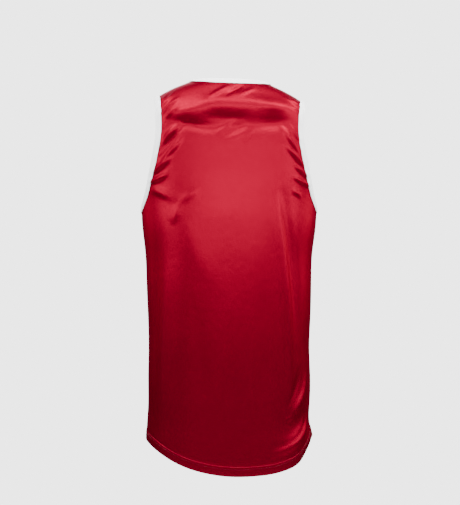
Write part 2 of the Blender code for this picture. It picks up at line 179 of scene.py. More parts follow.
# The creases are the scene's own, and fade out towards the bindings.
BACK_CREASES = table(
    Crease,
    # left shoulder
    (103, -13, 131, -48, 0, 3.5, 2.8, 0.60),
    (119, -20, 128, -32, 0, 1.7, 2.0, 0.60),
    (91, -21, 127, -58, 0, 4.9, 3.2, 0.60),
    (89, -38, 123, -69, 1, 3.2, 3.4, 0.60),
    (118, -48, 130, -60, 0, 1.3, 1.8, 0.60),
    # the shelf's middle and its sharper edges
    (66, -34, -62, -36, 1, 6.0, 14.0, 0.50),
    (60, -80, -58, -78, -2, -3.8, 11.0, 0.50),
    (52, -62, -52, -63, 0, -2.0, 8.0, 0.50),
    (-38, -35, -126, -43, -2, 1.8, 9.0, 0.50),
    (-126, -62, -34, -65, 2, -1.8, 8.0, 0.50),
    (44, -40, 110, -58, -2, 1.2, 6.0, 0.50),
    (-44, -41, -116, -42, -1, 1.4, 6.0, 0.50),
    (112, -69, 40, -82, 0, -0.9, 4.5, 0.50),
    (-112, -70, -44, -76, 2, -1.0, 4.5, 0.50),
    (44, -23, -53, -17, -2, 2.0, 11.0, 0.50),
    # left armhole
    (115, -68, 127, -84, 0, 2.2, 2.2, 0.60),
    (88, -70, 123, -111, 2, 5.9, 5.2, 0.60),
    (77, -70, 131, -128, 1, -4.0, 4.0, 0.60),
    (90, -90, 136, -137, 1, 2.3, 2.3, 0.60),
    (81, -90, 128, -147, -2, 4.9, 3.9, 0.60),
    (117, -134, 139, -154, 0, 1.3, 1.6, 0.60),
    (99, -130, 142, -166, 1, 5.5, 3.7, 0.60),
    (114, -141, 138, -159, 0, 1.3, 1.6, 0.60),
    (109, -161, 150, -180, -3, 5.5, 3.8, 0.60),
    (148, -192, 97, -217, -3, 3.0, 7.5, 0.40),
    (58, -189, 95, -217, -4, 2.0, 8.0, 0.50),
    (89, -220, 108, -258, -1, 2.2, 9.0, 0.50),
    (98, -219, 14, -397, 6, 1.5, 22.0, 0.45),
    # nape
    (-3, 2, 40, -29, 0, 3.5, 4.6, 0.50),
    (-25, 3, 12, -26, 1, -3.5, 4.4, 0.40),
    (-49, -3, -12, -26, 2, 1.8, 4.6, 0.50),
    (-14, -64, 29, -93, -1, 2.3, 4.8, 0.50),
    (-27, -69, 18, -100, -4, -2.2, 5.0, 0.50),
    (-37, -72, -6, -103, -2, 1.7, 4.4, 0.45),
    (-44, -77, -21, -108, -1, -1.2, 4.4, 0.50),
    # right shoulder
    (-100, -16, -134, -39, -1, 4.5, 3.2, 0.60),
    (-111, -35, -131, -44, 0, 2.2, 2.0, 0.60),
    (-109, -40, -128, -51, 0, 1.3, 2.2, 0.60),
    # right armhole
    (-107, -62, -130, -103, 1, 4.0, 3.0, 0.60),
    (-88, -64, -131, -134, -1, 5.9, 4.0, 0.60),
    (-111, -88, -133, -123, 0, 2.3, 2.2, 0.60),
    (-94, -102, -138, -152, -1, 5.7, 3.9, 0.60),
    (-115, -145, -146, -171, 0, 4.5, 3.0, 0.60),
    (-114, -168, -150, -187, 1, 4.0, 3.2, 0.60),
    (-113, -194, -134, -207, 0, 2.3, 4.5, 0.50),
    # low and long, below the waist
    (116, -320, 128, -650, 3, 1.8, 12.0, 0.50),
    (62, -380, 54, -660, -4, -1.6, 18.0, 0.50),
    (-2, -330, 8, -690, 3, 1.6, 20.0, 0.45),
    (-55, -320, -62, -660, -3, -1.6, 16.0, 0.50),
    (-92, -230, -113, -610, -2, 1.5, 4.2, 0.50),
    # hem, right corner
    (-145, -587, -70, -680, -31, 2.0, 5.0, 0.55),
    (-143, -582, -68, -672, -30, -2.0, 5.0, 0.50),
    (-130, -516, -101, -600, -7, -2.4, 6.5, 0.55),
    (-139, -604, -85, -669, -16, 0.7, 1.6, 0.50),
    (-142, -560, -125, -618, -2, 1.9, 3.2, 0.50),
    (-125, -615, -98, -619, 0, 1.4, 4.0, 0.50),
)
FRONT_CREASES = table(
    Crease,
    # from the armholes
    (112, -60, 72, -44, 2, -1.8, 4.4, 0.40),
    (108, -88, 62, -82, -2, -2.2, 5.0, 0.40),
    (106, -108, 58, -118, -3, 1.8, 5.0, 0.40),
    (107, -120, 66, -139, -3, -2.2, 4.6, 0.40),
    (112, -142, 74, -170, -2, 1.7, 4.4, 0.40),
    (115, -152, 80, -185, -2, -2.3, 4.6, 0.40),
    (127, -178, 98, -222, 2, -2.4, 6.0, 0.40),
    (-111, -64, -78, -42, 2, -1.6, 4.4, 0.40),
    (-107, -92, -66, -92, 3, -2.1, 5.0, 0.45),
    (-106, -112, -70, -128, 2, 1.6, 4.6, 0.40),
    (-109, -128, -70, -152, 3, -2.4, 4.8, 0.40),
    (-118, -158, -88, -196, -2, -2.0, 4.6, 0.40),
    (-131, -182, -106, -232, -3, -2.6, 6.5, 0.40),
    # under the neck's scoop and at the hem
    (36, -122, 82, -210, 4, 1.6, 9.0, 0.40),
    (22, -130, 54, -232, 3, -1.8, 9.0, 0.35),
    (-24, -128, -58, -246, -4, -1.6, 9.5, 0.35),
    (-40, -120, -84, -196, -4, 1.4, 8.0, 0.40),
    (4, -300, -14, -640, 8, 1.6, 16.0, 0.55),
    (40, -420, 22, -690, 6, -1.4, 14.0, 0.60),
    (141, -600, 92, -668, 10, -2.0, 6.0, 0.50),
    (-148, -560, -96, -668, -14, 2.4, 8.0, 0.55),
    (-146, -596, -104, -676, -10, -2.0, 6.0, 0.50),
)
CREASES = {"back": (BACK_FOLDS, BACK_CREASES), "front": (FRONT_FOLDS, FRONT_CREASES)}
SEAM_SHARE = 0.12  # the large folds fade over this share of the way to a seam
EDGE_BARE = 5 * MM  # the creases start this far from a bound edge
EDGE_FADE = 7 * MM  # and are at their full height this much further in
CREASE_STEP, CREASE_LEAST_POINTS = 6 * MM, 6
CREASE_REACH = 3  # how far a crease is followed to each side, in its widths
CREASE_TAPER = 1.2  # the power that thins its ends

# ---- Sewing of the scene alone ----
SEAM_DIP, SEAM_DIP_WIDTH = 0.7 * MM, 2.5 * MM  # the groove at the side and shoulder seams
HEM_GAP, HEM_FOLD = 0.5 * MM, 0.9 * MM  # between the hem's two layers, and its fold's height
HEM_INNER_ROWS = (1, 0.8, 0.6, 0.4, 0.2, 0.06)  # shares of the hem's depth
HEM_OUTER_ROWS = (0.06, 0.2, 0.4, 0.6, 0.8, 0.9, 0.95, 0.985, 1)
BINDING_EASE, BINDING_PUFF = 0.25 * MM, 0.5 * MM  # off the panel, and the swell of each leg
BINDING_COLUMNS = np.array((1.0, 0.94, 0.86, 0.74, 0.6, 0.44, 0.28, 0.14, 0.03))
RIPPLE, RIPPLE_RUN, RIPPLE_DRIFT = 0.22 * MM, 7.3 * MM, 19 * MM  # along a binding
STITCH_SPAN = (0.08, 0.86)  # from where to where in its pitch a stitch shows
STITCH_GIRTHS = np.array((0.35, 1.0, 1.0, 0.35))  # from end to end, in thread radii
STITCH_RISES = np.array((-1.0, 0.35, 0.35, -1.0))
STITCH_SIDES, STITCH_FLATNESS = 6, 0.8
HEM_STITCH_DROPS = (1.2 * MM, 5.4 * MM)  # the two rows, below the turn-up's inner edge
HEM_STITCH_REACH, HEM_STITCH_POINTS = 0.995, 260  # how near the seams they end
BINDING_STITCH_SHARE, BINDING_STITCH_LIFT = 0.16, 0.33 * MM  # from the binding's inner line

# ---- Fineness of the meshes ----
# The counts are those of the part's source, and FINER is how many times finer they are here.
RING_SAMPLES = 121
SIDE_ROWS, FINER_SIDE = 19, 5
ARMHOLE_STATIONS, FINER_ARMHOLE = 20, 5
SHOULDER_ROWS, FINER_SHOULDER = 4, 8
BAND_ROWS = (0, 1 / 3, 2 / 3, 1)  # under a binding, from its rail to the edge
EDGE_SAMPLES = 241
HEM_TURNS, BINDING_TURNS = 7, 9  # stations round a fold, with its two ends
SETTLE_ROUNDS, INSET_ROUNDS = 120, 3
CHART_WIDTH = 250 * MM  # the breadth given to a half panel while its grid is spread
FAN_POWER = 2.5  # how sharply the rows fan out from the centre line to the armpit
WELD_STEP = 0.02 * MM
DISTANCE_BATCH, EDGE_SKIP = 4000, 3  # places at a time, against each third point of an edge
GIRTH_HEIGHTS = np.linspace(-0.72, -0.05, 60)  # where a panel's flat width is looked for


# ---- Curves and the worn form ----
def spline(knots, values):
    """The natural cubic through the points, as a function of an array."""
    x = np.asarray(knots, float)
    shape = np.shape(values)[1:]
    y = np.asarray(values, float).reshape(len(x), -1)
    gap = np.diff(x)[:, None]
    slope = np.diff(y, axis=0) / gap
    system = np.eye(len(x))
    wanted = np.zeros_like(y)
    for k in range(1, len(x) - 1):
        system[k, k - 1 : k + 2] = gap[k - 1, 0], 2 * (x[k + 1] - x[k - 1]), gap[k, 0]
        wanted[k] = 6 * (slope[k] - slope[k - 1])
    bend = np.linalg.solve(system, wanted)

    def at(points):
        flat = np.ravel(points)
        k = np.clip(np.searchsorted(x, flat) - 1, 0, len(gap) - 1)
        right, left = (flat - x[k])[:, None], (x[k + 1] - flat)[:, None]
        found = (bend[k] * left**3 + bend[k + 1] * right**3) / (6 * gap[k])
        found += (y[k] / gap[k] - bend[k] * gap[k] / 6) * left
        found += (y[k + 1] / gap[k] - bend[k + 1] * gap[k] / 6) * right
        return found.reshape(np.shape(points) + shape)

    return at


def column(rows, name):
    """One named column of a millimetre table, in metres where it is a length."""
    values = np.array([getattr(row, name) for row in rows], float)
    return values if name in ("squareness", "share") else values * MM


def level_spline(name):
    return spline(column(LEVELS, "z"), column(LEVELS, name))


half_width, squareness, sway = map(level_spline, ("half_width", "squareness", "sway"))
depth = {face.name: level_spline(face.name) for face in FACES}

SEAM_HEIGHTS = np.linspace(-760, 20, 3121) * MM  # every quarter of a millimetre
SEAM_RUNS = np.concatenate(
    ([0], np.cumsum(np.hypot(np.diff(half_width(SEAM_HEIGHTS)), np.diff(SEAM_HEIGHTS))))
)


def seam_run(z):
    """The length of the side and shoulder seams up to the height z."""
    return np.interp(z, SEAM_HEIGHTS, SEAM_RUNS)


def seam_height(run):
    return np.interp(run, SEAM_RUNS, SEAM_HEIGHTS)


def along_seam(z, distance):
    """The height reached by going that far up the side or shoulder seam from height z."""
    return float(seam_height(seam_run(z) + distance))


def armhole_spline(name):
    """The edge's x as a function of height, meeting the side seam and the shoulder seam."""
    z = np.concatenate(([ARMPIT_Z], column(ARMHOLE, "z"), [ARMHOLE_TOP_Z]))
    ends = half_width(np.array([ARMPIT_Z, ARMHOLE_TOP_Z]))
    return spline(z, np.concatenate((ends[:1], column(ARMHOLE, name), ends[1:])))


armhole_x = {"back": armhole_spline("back_x"), "front": armhole_spline("front_x")}


def hem_spline():
    share = column(HEM, "share")
    right, left = column(HEM, "right_z"), column(HEM, "left_z")
    knots = np.concatenate((-share[::-1], share[1:]))
    return spline(knots, np.concatenate((right[::-1], left[1:])))


back_hem = hem_spline()


def hem_z(face, f):
    """The hem's height: lowest near the centre line, rising to the side seams."""
    f = np.asarray(f, float)
    if face.name == "back":
        return back_hem(f)
    seam_z = back_hem(np.where(f < 0, -1.0, 1.0))
    return seam_z + (FRONT_HEM_Z - seam_z) * np.cos(math.pi / 2 * f) ** 2


def smooth(t):
    t = np.clip(t, 0, 1)
    return t * t * (3 - 2 * t)


def run_along(points):
    """The distance of each point of a line from its first, along the line."""
    steps = np.linalg.norm(np.diff(points, axis=0), axis=1)
    return np.concatenate(([0], np.cumsum(steps)))


def dot(a, b):
    return np.sum(a * b, axis=-1)


def unit(vectors):
    return vectors / np.linalg.norm(vectors, axis=-1, keepdims=True)


# A place on the form is (f, z): f is the share of the way round the level section, from 0 on
# the centre line to 1 at the wearer's left seam and -1 at the right one.
ANGLES = np.linspace(0, math.pi / 2, RING_SAMPLES)


def ring(face, z):
    """Quarter sections at the heights z: x, y and length from the centre line, per angle."""
    power = 2 / squareness(z)[:, None]
    x = half_width(z)[:, None] * np.sin(ANGLES) ** power
    y = depth[face.name](z)[:, None] * np.clip(np.cos(ANGLES), 0, 1) ** power
    steps = np.hypot(np.diff(x, axis=1), np.diff(y, axis=1))
    length = np.concatenate((np.zeros((len(z), 1)), np.cumsum(steps, axis=1)), axis=1)
    return x, y, length


def half_girth(face, z):
    return ring(face, z)[2][:, -1]


def share_at(face, x, z):
    """The f at which the section at each height z is x from the middle."""
    _, _, length = ring(face, z)
    reach = np.clip(np.abs(x) / half_width(z), 0, 1)
    angle = np.arcsin(reach ** (squareness(z) / 2))
    found = [np.interp(a, ANGLES, s) / s[-1] for a, s in zip(angle, length)]
    return np.array(found) * np.sign(x)


def plain_surface(face, f, z):
    """Points of the form without its folds."""
    x, y, length = ring(face, z)
    goal = np.abs(f) * length[:, -1]
    px = np.array([np.interp(g, s, row) for g, s, row in zip(goal, length, x)])
    py = np.array([np.interp(g, s, row) for g, s, row in zip(goal, length, y)])
    px = px * np.sign(f)
    px = px + sway(z) * (px / half_width(z)) ** 2
    lean = smooth((z - LEAN_STARTS_Z) / (LEAN_FULL_Z - LEAN_STARTS_Z))
    pz = z + SHOULDER_LEAN * lean * px / LEAN_AT_X
    return np.stack((px, face.y_sign * py, pz), axis=1)


def slopes(face, f, z):
    """How the form's points move with f and with z."""
    step_f, step_z = 1e-3, 2e-4
    inner = np.where(np.abs(f) + step_f > 1, f - np.sign(f) * step_f, f)
    right, left = (plain_surface(face, inner + s, z) for s in (step_f, -step_f))
    up, down = (plain_surface(face, f, z + s) for s in (step_z, -step_z))
    return (right - left) / (2 * step_f), (up - down) / (2 * step_z)


def outward(face, f, z):
    """Unit normals of the form, away from the wearer."""
    by_f, by_z = slopes(face, f, z)
    return unit(np.cross(by_z, by_f) * face.y_sign)


# ---- Edges of a panel, as arrays of f and z on its left half ----
def evenly(face, f, z, count):
    """count places along the path through (f, z), the same distance apart on the form."""
    along = run_along(plain_surface(face, f, z))
    goal = np.linspace(0, along[-1], count)
    return np.interp(goal, along, f), np.interp(goal, along, z)


def armhole_edge(face):
    """From the armpit up to the shoulder seam."""
    share = (1 - np.cos(np.linspace(0, math.pi, EDGE_SAMPLES))) / 2
    z = ARMPIT_Z + (ARMHOLE_TOP_Z - ARMPIT_Z) * share
    f = share_at(face, armhole_x[face.name](z), z)
    f[0] = f[-1] = 1
    return evenly(face, f, z, ARMHOLE_STATIONS + 1)


def neck_edge(face):
    """From the centre line out to the shoulder seam."""
    angle = np.linspace(0, math.pi / 2, EDGE_SAMPLES)
    x = NECK_HALF_WIDTH * np.sin(angle)
    z = NECK_POINT_Z - (NECK_POINT_Z - face.neck_z) * np.cos(angle)
    f = share_at(face, x, z)
    f[0], f[-1] = 0, 1
    return evenly(face, f, z, face.columns + 1)


def inset(face, f, z, towards):
    """The places BINDING_WIDTH inside an edge. towards is -1 to the centre or 1 below."""
    new_f, new_z = f.copy(), z.copy()
    start = plain_surface(face, f, z)
    along = unit(np.gradient(start, axis=0))
    inward = unit(np.cross(outward(face, f, z), along)) * towards * face.y_sign
    for _ in range(INSET_ROUNDS):
        by_f, by_z = slopes(face, new_f, new_z)
        missing = inward * BINDING_WIDTH - (plain_surface(face, new_f, new_z) - start)
        for k in range(1, len(f) - 1):
            basis = np.stack((by_f[k], by_z[k]), axis=1)
            step = np.linalg.lstsq(basis, missing[k], rcond=None)[0]
            new_f[k] += step[0]
            new_z[k] += step[1]
    return np.clip(new_f, 0, 1), new_z


def armhole_rail(face, edge):
    """The armhole edge moved in by the binding's width, its ends on the two seams."""
    f, z = inset(face, *edge, towards=-1)
    f[0] = f[-1] = 1
    z[0] = along_seam(ARMPIT_Z, -BINDING_WIDTH)
    z[-1] = along_seam(ARMHOLE_TOP_Z, BINDING_WIDTH)
    return f, z


def neck_rail(face, edge):
    """The neck edge moved down by the binding's width, its outer end on the seam."""
    f, z = inset(face, *edge, towards=1)
    f[0], f[-1] = 0, 1
    centre = edge[1][0]
    fall = depth[face.name](centre) - depth[face.name](centre - BINDING_WIDTH)
    z[0] = centre - BINDING_WIDTH / math.hypot(1, fall / BINDING_WIDTH)
    z[-1] = along_seam(NECK_POINT_Z, -BINDING_WIDTH)
    return f, z


def on_side(path, side):
    """A left half path, or its place on the right half."""
    return side * path[0], path[1]


def whole(path):
    """A left half path from the centre, made to run from its right end to its left end."""
    f, z = path
    return np.concatenate((-f[::-1], f[1:])), np.concatenate((z[::-1], z[1:]))


def finer(values, times):
    """The rows of an array with times - 1 smooth ones put between each two."""
    count = len(values)
    return spline(np.arange(count), values)(
        np.linspace(0, count - 1, (count - 1) * times + 1)
    )


def finer_path(path, times):
    return tuple(finer(values, times) for values in path)


def panel_edges(face):
    """The bound edges of a panel, each as its rail inside the panel and its own path."""
    armhole, neck = armhole_edge(face), neck_edge(face)
    arm_pair = [finer_path(p, FINER_ARMHOLE) for p in (armhole_rail(face, armhole), armhole)]
    neck_pair = [finer_path(p, face.finer_columns) for p in (neck_rail(face, neck), neck)]
    for f, _ in arm_pair + neck_pair:
        np.clip(f, 0, 1, out=f)
    return {
        "right": [on_side(path, -1) for path in arm_pair],
        "left": [on_side(path, 1) for path in arm_pair],
        "neck": [whole(path) for path in neck_pair],
    }


# ---- A panel's grid ----
def blend(bottom, top, inner, outer):
    """A grid filled in from its four edges, as rows from bottom to top."""
    across = np.linspace(0, 1, len(bottom))[None, :, None]
    up = np.linspace(0, 1, len(inner))[:, None, None]
    grid = (1 - up) * bottom[None] + up * top[None]
    grid = grid + (1 - across) * inner[:, None] + across * outer[:, None]
    grid = grid - (1 - up) * ((1 - across) * bottom[0] + across * bottom[-1])
    return grid - up * ((1 - across) * top[0] + across * top[-1])


def settle(grid):
    """The grid with its inner points moved until its lines spread without crossing."""
    for _ in range(SETTLE_ROUNDS):
        up, down = grid[2:, 1:-1], grid[:-2, 1:-1]
        right, left = grid[1:-1, 2:], grid[1:-1, :-2]
        by_row, by_column = (up - down) / 2, (right - left) / 2
        corners = grid[2:, 2:] - grid[:-2, 2:] - grid[2:, :-2] + grid[:-2, :-2]
        pairs = ((by_row, by_row), (by_column, by_column), (by_row, by_column))
        along, across, lean = (dot(a, b)[..., None] for a, b in pairs)
        moved = along * (right + left) + across * (up + down) - lean * corners / 2
        grid[1:-1, 1:-1] = moved / (2 * (along + across))
    return grid


def half_grid(face, side):
    """(f, z) at every point from above the hem to the neck's rail, from the centre out."""
    arm_f, arm_z = armhole_rail(face, armhole_edge(face))
    neck_f, neck_z = neck_rail(face, neck_edge(face))
    share = np.linspace(0, 1, face.columns + 1)
    shoulder_z = np.linspace(arm_z[-1], neck_z[-1], SHOULDER_ROWS + 1)[1:]
    outer_f = np.concatenate((arm_f, np.ones(SHOULDER_ROWS)))
    outer_z = np.concatenate((arm_z, shoulder_z))
    inner_z = np.linspace(face.fan_z, neck_z[0], len(outer_z))
    inner_f = np.zeros(len(outer_z))
    chest = face.fan_z + (arm_z[0] - face.fan_z) * share**FAN_POWER
    edges = ((share, chest), (neck_f, neck_z), (inner_f, inner_z), (outer_f, outer_z))
    flat = [np.stack((f * CHART_WIDTH, seam_run(z)), axis=1) for f, z in edges]
    grid = settle(blend(*flat))
    grid = np.stack((grid[..., 0] / CHART_WIDTH, seam_height(grid[..., 1])), axis=2)

    grid = np.swapaxes(finer(np.swapaxes(grid, 0, 1), face.finer_columns), 0, 1)
    arm = finer(grid[: ARMHOLE_STATIONS + 1], FINER_ARMHOLE)
    shoulder = finer(grid[ARMHOLE_STATIONS:], FINER_SHOULDER)
    chest_f, chest_z = arm[0, :, 0], arm[0, :, 1]
    hem_edge = hem_z(face, side * chest_f) + HEM_DEPTH
    up = np.linspace(0, 1, SIDE_ROWS * FINER_SIDE + 1)[:-1, None]
    lower_z = hem_edge + (chest_z - hem_edge) * up
    lower = np.stack((np.broadcast_to(chest_f, lower_z.shape), lower_z), axis=2)
    grid = np.concatenate((lower, arm, shoulder[1:]))
    return np.clip(grid * (side, 1), (-1, -math.inf), (1, math.inf))


def panel_grid(face):
    """The whole panel's (f, z), in rows from the wearer's right to the left."""
    right, left = half_grid(face, -1), half_grid(face, 1)
    return np.concatenate((right[:, ::-1], left[:, 1:]), axis=1)


# ---- Creases ----
def arc(crease):
    """The path of a crease, as x and z, bowed sideways at its middle."""
    reach_x, reach_z = crease.x1 - crease.x0, crease.z1 - crease.z0
    run = math.hypot(reach_x, reach_z)
    t = np.linspace(0, 1, max(CREASE_LEAST_POINTS, math.ceil(run * MM / CREASE_STEP)))
    bow = 4 * crease.bow * t * (1 - t) / run
    path_x = crease.x0 + reach_x * t + bow * abs(reach_z)
    path_z = crease.z0 + reach_z * t + bow * reach_x
    return path_x * MM, path_z * MM


def nearest_on_path(across, z, path_across, path_z):
    """The distance of each place from a path, and how far along the path that is."""
    step_a, step_z = np.diff(path_across), np.diff(path_z)
    from_a, from_z = across[:, None] - path_across[:-1], z[:, None] - path_z[:-1]
    share = (from_a * step_a + from_z * step_z) / (step_a**2 + step_z**2)
    share = np.clip(share, 0, 1)
    away = np.hypot(from_a - share * step_a, from_z - share * step_z)
    best = away.argmin(axis=1)
    row = np.arange(len(z))
    return away[row, best], (best + share[row, best]) / len(step_a)


def crease_lift(face, crease, across, z):
    """The places that a crease comes near, and how far it lifts each of them."""
    path_x, path_z = arc(crease)
    path_across = share_at(face, path_x, path_z) * half_girth(face, path_z)
    width = crease.width * MM
    reach = CREASE_REACH * width
    near = np.flatnonzero((z > path_z.min() - reach) & (z < path_z.max() + reach))
    away, along = nearest_on_path(across[near], z[near], path_across, path_z)
    turned = np.clip(along, 0, 1) ** (math.log(0.5) / math.log(crease.peak))
    taper = np.clip(np.sin(math.pi * turned), 0, 1) ** CREASE_TAPER
    return near, crease.height * MM * taper * np.exp(-((away / width) ** 2))


def crease_height(face, f, z, girth):
    """How far the folds and creases lift the cloth off the form, in metres."""
    across = f * girth
    total = np.zeros(len(z))
    seam_fade = smooth((1 - np.abs(f)) / SEAM_SHARE)
    edge_fade = smooth((binding_distance(face, across, z) - EDGE_BARE) / EDGE_FADE)
    for creases, fade in zip(CREASES[face.name], (seam_fade, edge_fade)):
        for crease in creases:
            near, lift = crease_lift(face, crease, across, z)
            total[near] += lift * fade[near]
    return total


def binding_distance(face, across, z):
    """How far each place is from the nearest bound edge, measured on the cloth."""
    least = np.full(len(z), math.inf)
    for _, (edge_f, edge_z) in panel_edges(face).values():
        edge_across = (edge_f * half_girth(face, edge_z))[::EDGE_SKIP]
        for start in range(0, len(z), DISTANCE_BATCH):
            part = slice(start, start + DISTANCE_BATCH)
            rise = z[part, None] - edge_z[::EDGE_SKIP]
            away = np.hypot(across[part, None] - edge_across, rise)
            least[part] = np.minimum(least[part], away.min(axis=1))
    return least


Drape = namedtuple("Drape", "points normals cloth_uv")


def drape(face, f, z, lift=0.0):
    """The worn cloth at the places (f, z), raised by lift, with its normals and its flat map."""
    shape = np.shape(f)
    f, z = np.ravel(f), np.ravel(z)
    lift = np.ravel(np.broadcast_to(lift, shape))
    girth = half_girth(face, z)
    normal = outward(face, f, z)
    dip = SEAM_DIP * np.exp(-(((1 - np.abs(f)) * girth / SEAM_DIP_WIDTH) ** 2))
    height = crease_height(face, f, z, girth) + lift - dip
    points = plain_surface(face, f, z) + normal * height[:, None]
    flat = np.stack((f * girth, seam_run(z)), axis=1)
    return Drape(*(part.reshape(*shape, -1) for part in (points, normal, flat)))


# ---- Meshes ----
Strip = namedtuple("Strip", "points uv closed", defaults=(False,))


def linked(name, data):
    """A new object in the scene."""
    made = bpy.data.objects.new(name, data)
    bpy.context.scene.collection.objects.link(made)
    return made


def new_piece(name, points, faces, finish, uv=None):
    """An object from points and faces, riding on the garment's one body."""
    data = bpy.data.meshes.new(name)
    data.from_pydata(points, [], faces)
    data.validate()
    if uv is not None:
        layer = data.uv_layers.new(name="cloth")
        corner = np.empty(len(data.loops), np.int32)
        data.loops.foreach_get("vertex_index", corner)
        layer.data.foreach_set("uv", np.asarray(uv, np.float32)[corner].ravel())
    data.shade_smooth()
    data.materials.append(finish)
    piece = linked(name, data)
    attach(piece, "root")
    return piece


def strips_to_mesh(strips):
    """Points, quads and uv of grids of points; points in the same place are made one."""
    points, uv, faces, start = [], [], [], 0
    for strip in strips:
        rows, columns = strip.points.shape[:2]
        index = start + np.arange(rows * columns).reshape(rows, columns)
        if strip.closed:
            index = np.concatenate((index, index[:1]))
        quads = (index[:-1, :-1], index[:-1, 1:], index[1:, 1:], index[1:, :-1])
        faces.append(np.stack(quads, axis=2).reshape(-1, 4))
        points.append(strip.points.reshape(-1, 3))
        uv.append(strip.uv.reshape(-1, 2))
        start += rows * columns
    points, uv, faces = map(np.concatenate, (points, uv, faces))
    cells = np.round(points / WELD_STEP).astype(int)
    _, first, same = np.unique(cells, axis=0, return_index=True, return_inverse=True)
    corners = [list(dict.fromkeys(face)) for face in np.ravel(same)[faces].tolist()]
    return points[first], uv[first], [face for face in corners if len(face) > 2]


def cloth_piece(name, strips, wall, finish):
    """A piece of cloth with a wall, its outside facing away from the wearer."""
    points, uv, faces = strips_to_mesh(strips)
    piece = new_piece(name, points.tolist(), faces, finish, uv)
    solid = piece.modifiers.new("wall", "SOLIDIFY")
    solid.thickness = wall
    solid.offset = 0
    return piece


def cloth_area(piece):
    """The area of the cloth's middle surface, from the mesh before its wall."""
    return sum(polygon.area for polygon in piece.data.polygons)


def hem_lift(share):
    """How far the hem's outer layer stands out, by the share of the way up to its stitches."""
    rises = (0.0, 0.06, 0.2, 0.5, 0.8, 0.9, 0.95, 0.985, 1.0)
    lifts = (0.0, 0.15, 0.4, 0.6, 0.65, 0.55, 0.3, -0.05, 0.0)
    return np.interp(share, rises, lifts) * MM


def hem_strip(face, grid, wall):
    """The turned-up hem, from its inner top edge round the fold to the outer layer."""
    f = grid[0, :, 0]
    edge = hem_z(face, f)
    inner = -(wall + HEM_GAP)
    turns = np.linspace(-math.pi / 2, math.pi / 2, HEM_TURNS)[1:-1]
    rows = [(HEM_DEPTH * s, inner) for s in HEM_INNER_ROWS]
    rows += [(HEM_FOLD * (1 - math.cos(a)), inner / 2 * (1 - math.sin(a))) for a in turns]
    rows += [(HEM_DEPTH * s, hem_lift(s)) for s in HEM_OUTER_ROWS]
    rise, lift = (np.array(values)[:, None] for values in zip(*rows))
    draped = drape(face, np.broadcast_to(f, (len(rows), len(f))), edge + rise, lift + 0 * f)
    return Strip(draped.points, draped.cloth_uv)


def build_panel(face, sizes, finish):
    """A panel: its main cloth, its turned-up hem and the bands under its bindings."""
    grid = panel_grid(face)
    main = drape(face, grid[..., 0], grid[..., 1])
    strips = [Strip(main.points, main.cloth_uv), hem_strip(face, grid, sizes.panel_wall)]
    for pair in panel_edges(face).values():
        places = (np.stack([a + (b - a) * s for s in BAND_ROWS]) for a, b in zip(*pair))
        band = drape(face, *places)
        strips.append(Strip(band.points, band.cloth_uv))
    piece = cloth_piece(f"{face.name}_panel_cloth", strips, sizes.panel_wall, finish)
    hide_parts(f"{face.name}_panel")
    return piece


# ---- Shader maths ----
class Value:
    """What a node gives; sums on it add Math nodes to its tree."""

    def __init__(self, nodes, socket):
        self.nodes, self.socket = nodes, socket

    def maths(self, operation, *others):
        inputs = dict(enumerate((self, *others)))
        return self.nodes.add("ShaderNodeMath", {"operation": operation}, inputs)

    def __add__(self, other):
        return self.maths("ADD", other)

    def __sub__(self, other):
        return self.maths("SUBTRACT", other)

    def __rsub__(self, other):
        return self.maths("MULTIPLY_ADD", -1.0, other)

    def __mul__(self, other):
        return self.maths("MULTIPLY", other)

    __radd__, __rmul__ = __add__, __mul__

    def waves(self, pitch):
        return (self * (2 * math.pi / pitch)).maths("SINE")

    def least(self, other):
        return self.maths("MINIMUM", other)

    def most(self, other):
        return self.maths("MAXIMUM", other)


class Nodes:
    """A tree of nodes, with one way to add any of them."""

    def __init__(self, tree):
        self.tree = tree

    def add(self, kind, settings=None, inputs=None, output=0):
        node = self.tree.nodes.new(kind)
        for name, value in (settings or {}).items():
            setattr(node, name, value)
        for name, value in (inputs or {}).items():
            self.plug(node.inputs[name], value)
        return Value(self, node.outputs[output])

    def plug(self, socket, value):
        if isinstance(value, Value):
            self.tree.links.new(value.socket, socket)
        else:
            socket.default_value = value


class Finish(Nodes):
    """A material and its Principled shader."""

    def __init__(self, name):
        self.material = bpy.data.materials.new(name)
        self.material.use_nodes = True
        super().__init__(self.material.node_tree)
        self.shader = self.tree.nodes["Principled BSDF"]

    def set(self, **sockets):
        for name, value in sockets.items():
            self.plug(self.shader.inputs[name.replace("_", " ")], value)

    def cloth_place(self):
        """The place on the flat cloth in millimetres, across and along."""
        flat = self.add("ShaderNodeUVMap", {"uv_map": "cloth"})
        split = self.add("ShaderNodeSeparateXYZ", inputs={0: flat})
        along = Value(self, split.socket.node.outputs[1])
        return split * (1 / MM), along * (1 / MM)

    def cloud(self, size, detail=2.0, roughness=0.5):
        """Soft noise from 0 to 1 over the object, with patches of about that size."""
        place = self.add("ShaderNodeTexCoord", output=3)
        inputs = {"Vector": place, "Scale": 1 / size, "Detail": detail, "Roughness": roughness}
        return self.add("ShaderNodeTexNoise", inputs=inputs)

    def mix(self, factor, first, second):
        inputs = {0: factor, 6: (*first, 1), 7: (*second, 1)}
        return self.add("ShaderNodeMix", {"data_type": "RGBA"}, inputs, output=2)

    def bump(self, height, distance, strength):
        inputs = {"Height": height, "Distance": distance, "Strength": strength}
        return self.add("ShaderNodeBump", inputs=inputs)


